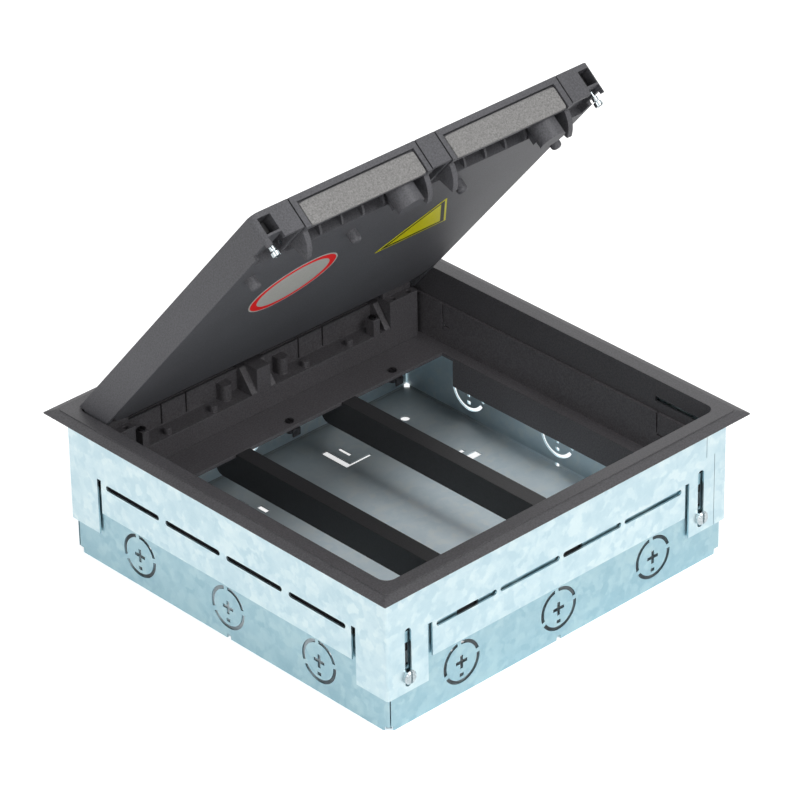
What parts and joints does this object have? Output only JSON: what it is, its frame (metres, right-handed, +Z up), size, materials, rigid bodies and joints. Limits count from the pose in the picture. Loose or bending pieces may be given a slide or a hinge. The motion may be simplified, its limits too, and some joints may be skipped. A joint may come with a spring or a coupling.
{
  "type": "floor box",
  "caption": "Square under-floor outlet box: galvanised tray and height-adjusting collar, plastic floor frame, hinged lid with cord outlets, open socket bays.",
  "frame": {"origin": "centre of the tray's underside, where the box stands on the raw floor", "axes": "+Z up, -Y towards the lid's front edge with the cord outlets, +Y towards the hinge"},
  "size_m": [0.264, 0.264, 0.2602],
  "materials": {
    "galvanised_steel": "hot-dip galvanised, faint spangle",
    "zinc_screw": "bright zinc plated",
    "frame_plastic": "fine-textured dark grey polyamide",
    "lid_plastic": "fine-textured grey polyamide",
    "dark_screw": "black oxide",
    "foam": "open-cell grey sealing foam",
    "sticker_grey": "printed film with a plain red rim",
    "sticker_yellow": "printed film with a plain dark rim"
  },
  "bodies": {
    "base": {"base_tray": "galvanised_steel", "adjusting_screws": "zinc_screw", "adjusting_nuts": "zinc_screw"},
    "collar": {"collar_sheet_front": "galvanised_steel", "collar_sheet_rear": "galvanised_steel", "floor_frame": "frame_plastic", "insert_tray": "frame_plastic", "support_bars": "frame_plastic", "plate_screws": "dark_screw", "plate_clips": "dark_screw", "hinge_bridge": "frame_plastic", "bridge_screws": "dark_screw", "hinge_pins": "zinc_screw"},
    "lid": {"lid_shell": "lid_plastic", "stiffening_plate": "galvanised_steel", "stiffener_screws": "zinc_screw", "support_screws": "zinc_screw", "outlet_pins": "zinc_screw", "round_sticker": "sticker_grey", "triangle_sticker": "sticker_yellow"},
    "outlet_left": {"cord_outlet_left": "lid_plastic", "foam_strip_left": "foam"},
    "outlet_right": {"cord_outlet_right": "lid_plastic", "foam_strip_right": "foam"},
    "latch_left": {"latch_slide_left": "frame_plastic"},
    "latch_right": {"latch_slide_right": "frame_plastic"}
  },
  "joints": [
    {"name": "height_adjust", "type": "slide", "parent": "base", "child": "collar", "axis": [0, 0, 1], "range_m": [-0.02, 0.0035]},
    {"name": "lid_hinge", "type": "hinge", "parent": "collar", "child": "lid", "pos_m": [0, 0.1128, 0.0745], "axis": [-1, 0, 0], "range_deg": [-50, 0]},
    {"name": "outlet_left_tilt", "type": "hinge", "parent": "lid", "child": "outlet_left", "pos_m": [-0.05025, -0.02198, 0.23528], "axis": [-1, 0, 0], "range_deg": [0, 25]},
    {"name": "outlet_right_tilt", "type": "hinge", "parent": "lid", "child": "outlet_right", "pos_m": [0.05025, -0.02198, 0.23528], "axis": [-1, 0, 0], "range_deg": [0, 25]},
    {"name": "latch_slide_left", "type": "slide", "parent": "lid", "child": "latch_left", "axis": [0, -0.6428, 0.766], "range_m": [0, 0.011]},
    {"name": "latch_slide_right", "type": "slide", "parent": "lid", "child": "latch_right", "axis": [0, -0.6428, 0.766], "range_m": [0, 0.011]}
  ]
}
